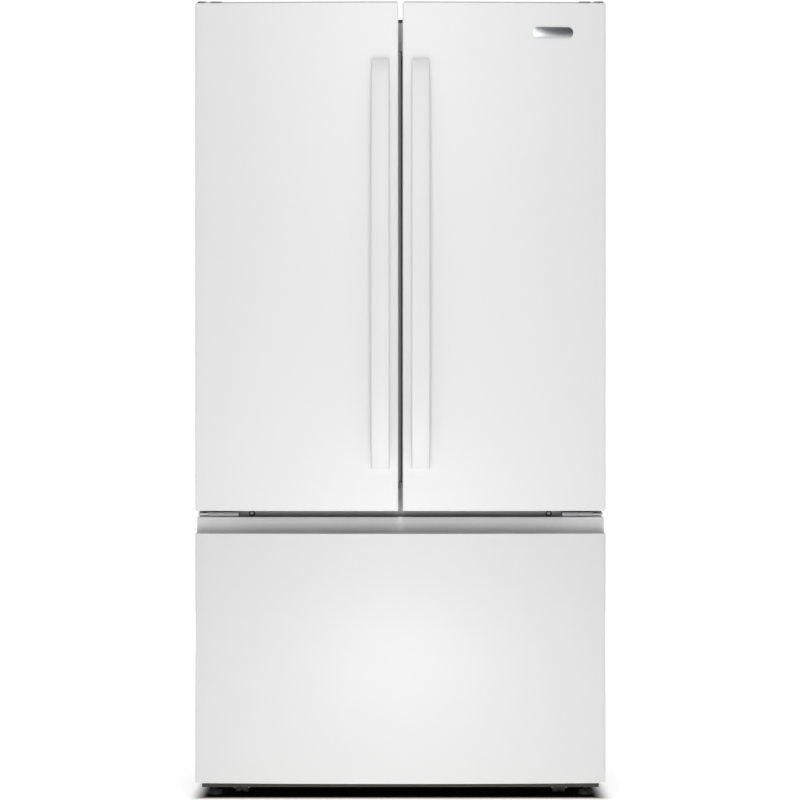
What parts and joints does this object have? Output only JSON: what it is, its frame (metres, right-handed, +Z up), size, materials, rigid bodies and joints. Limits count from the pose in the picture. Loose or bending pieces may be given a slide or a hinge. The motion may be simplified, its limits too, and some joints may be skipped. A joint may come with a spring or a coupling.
{
  "type": "french door refrigerator",
  "caption": "Free-standing refrigerator with two bowed upper doors, upright bar handles, and a wide freezer drawer with a finger scoop.",
  "frame": {"origin": "on the floor, under the middle of the object's box", "axes": "+Z up, the doors face -Y, +X to the right of someone facing the doors"},
  "size_m": [0.908, 0.8999, 1.781],
  "materials": {
    "basket_plastic": "matte",
    "button_plastic": "satin",
    "clear_bin": "gloss",
    "coil_aluminium": "satin",
    "compressor_black": "satin",
    "dark_plastic": "matte",
    "fan_plastic": "matte",
    "flap_grey": "matte",
    "foam": "matte",
    "galvanised": "satin",
    "grey_cap": "matte",
    "hinge_steel": "satin",
    "liner_plastic": "satin",
    "rail_steel": "satin",
    "roller_nylon": "matte",
    "screw_steel": "satin",
    "seal_grey": "matte",
    "shelf_glass": "gloss",
    "white_handle": "satin",
    "white_paint": "satin",
    "white_trim": "satin"
  },
  "bodies": {
    "cabinet": {"case_wrapper": "white_paint", "back_panel": "galvanised", "machine_cover": "galvanised", "power_inlet": "dark_plastic", "side_foam": "foam", "back_foam": "foam", "level_foam": "foam", "fresh_food_liner": "liner_plastic", "freezer_liner": "liner_plastic", "centre_rail": "flap_grey", "base_frame": "galvanised", "toe_grille": "dark_plastic", "levelling_feet": "dark_plastic", "top_hinges": "hinge_steel", "hinge_covers": "grey_cap", "centre_hinges": "hinge_steel", "hinge_screws": "screw_steel", "rail_channels": "rail_steel", "shelf_tracks": "rail_steel", "shelf_brackets": "rail_steel", "glass_shelves": "shelf_glass", "crisper_lid": "shelf_glass", "control_panel": "liner_plastic", "evaporator": "coil_aluminium", "evaporator_cover": "liner_plastic", "fan_motors": "fan_plastic", "compressor": "compressor_black", "condenser": "coil_aluminium", "drain_pan": "dark_plastic"},
    "left_door": {"left_door_panel": "white_paint", "left_door_core": "foam", "left_door_liner": "liner_plastic", "left_door_gasket": "seal_grey", "left_end_caps": "grey_cap", "left_handle": "white_handle", "left_door_bins": "clear_bin"},
    "right_door": {"right_door_panel": "white_paint", "right_door_core": "foam", "right_door_liner": "liner_plastic", "right_door_gasket": "seal_grey", "right_end_caps": "grey_cap", "right_handle": "white_handle", "right_door_bins": "clear_bin"},
    "mullion_flap": {"mullion_flap": "flap_grey"},
    "freezer_drawer": {"drawer_panel": "white_paint", "drawer_core": "foam", "pocket_pull": "white_trim", "drawer_gasket": "seal_grey", "rail_sliders": "rail_steel", "drawer_bin": "basket_plastic"},
    "rail_middles": {"rail_middles": "rail_steel"},
    "freezer_basket": {"freezer_basket": "basket_plastic"},
    "left_crisper": {"left_crisper": "clear_bin"},
    "right_crisper": {"right_crisper": "clear_bin"},
    "colder_button": {"colder_button": "button_plastic"},
    "warmer_button": {"warmer_button": "button_plastic"},
    "evaporator_fan": {"evaporator_fan": "fan_plastic"},
    "condenser_fan": {"condenser_fan": "fan_plastic"},
    "front_rollers": {"front_rollers": "roller_nylon"},
    "rear_rollers": {"rear_rollers": "roller_nylon"}
  },
  "joints": [
    {"name": "left_door_hinge", "type": "hinge", "parent": "cabinet", "child": "left_door", "pos_m": [-0.441, -0.342, 1.20525], "axis": [0, 0, -1], "range_deg": [0, 130]},
    {"name": "right_door_hinge", "type": "hinge", "parent": "cabinet", "child": "right_door", "pos_m": [0.441, -0.342, 1.20525], "axis": [0, 0, 1], "range_deg": [0, 130]},
    {"name": "flap_fold", "type": "hinge", "parent": "left_door", "child": "mullion_flap", "pos_m": [-0.032, -0.291, 1.20525], "axis": [0, 0, 1], "range_deg": [0, 85]},
    {"name": "drawer_slide", "type": "slide", "parent": "cabinet", "child": "freezer_drawer", "axis": [0, -1, 0], "range_m": [0, 0.42]},
    {"name": "rail_middle_slide", "type": "slide", "parent": "cabinet", "child": "rail_middles", "axis": [0, -1, 0], "range_m": [0, 0.21]},
    {"name": "basket_slide", "type": "slide", "parent": "cabinet", "child": "freezer_basket", "axis": [0, -1, 0], "range_m": [0, 0.252]},
    {"name": "left_crisper_slide", "type": "slide", "parent": "cabinet", "child": "left_crisper", "axis": [0, -1, 0], "range_m": [0, 0.2]},
    {"name": "right_crisper_slide", "type": "slide", "parent": "cabinet", "child": "right_crisper", "axis": [0, -1, 0], "range_m": [0, 0.2]},
    {"name": "colder_button_press", "type": "slide", "parent": "cabinet", "child": "colder_button", "axis": [0, 1, 0], "range_m": [0, 0.0012], "stiffness_N_per_m": 300},
    {"name": "warmer_button_press", "type": "slide", "parent": "cabinet", "child": "warmer_button", "axis": [0, 1, 0], "range_m": [0, 0.0012], "stiffness_N_per_m": 300},
    {"name": "evaporator_fan_spin", "type": "hinge", "parent": "cabinet", "child": "evaporator_fan", "pos_m": [0, 0.33, 0.52], "axis": [0, 1, 0], "continuous": true},
    {"name": "condenser_fan_spin", "type": "hinge", "parent": "cabinet", "child": "condenser_fan", "pos_m": [-0.04, 0.325, 0.178], "axis": [1, 0, 0], "continuous": true},
    {"name": "front_rollers_spin", "type": "hinge", "parent": "cabinet", "child": "front_rollers", "pos_m": [0, -0.242, 0.0245], "axis": [1, 0, 0], "continuous": true},
    {"name": "rear_rollers_spin", "type": "hinge", "parent": "cabinet", "child": "rear_rollers", "pos_m": [0, 0.405, 0.022], "axis": [1, 0, 0], "continuous": true}
  ],
  "couplings": [
    {"joint": "rail_middle_slide", "follows": "drawer_slide", "ratio": 0.5},
    {"joint": "basket_slide", "follows": "drawer_slide", "ratio": 0.6},
    {"joint": "left_crisper_slide", "follows": "left_door_hinge", "m_per_rad": 0.08814},
    {"joint": "right_crisper_slide", "follows": "right_door_hinge", "m_per_rad": 0.08814}
  ]
}
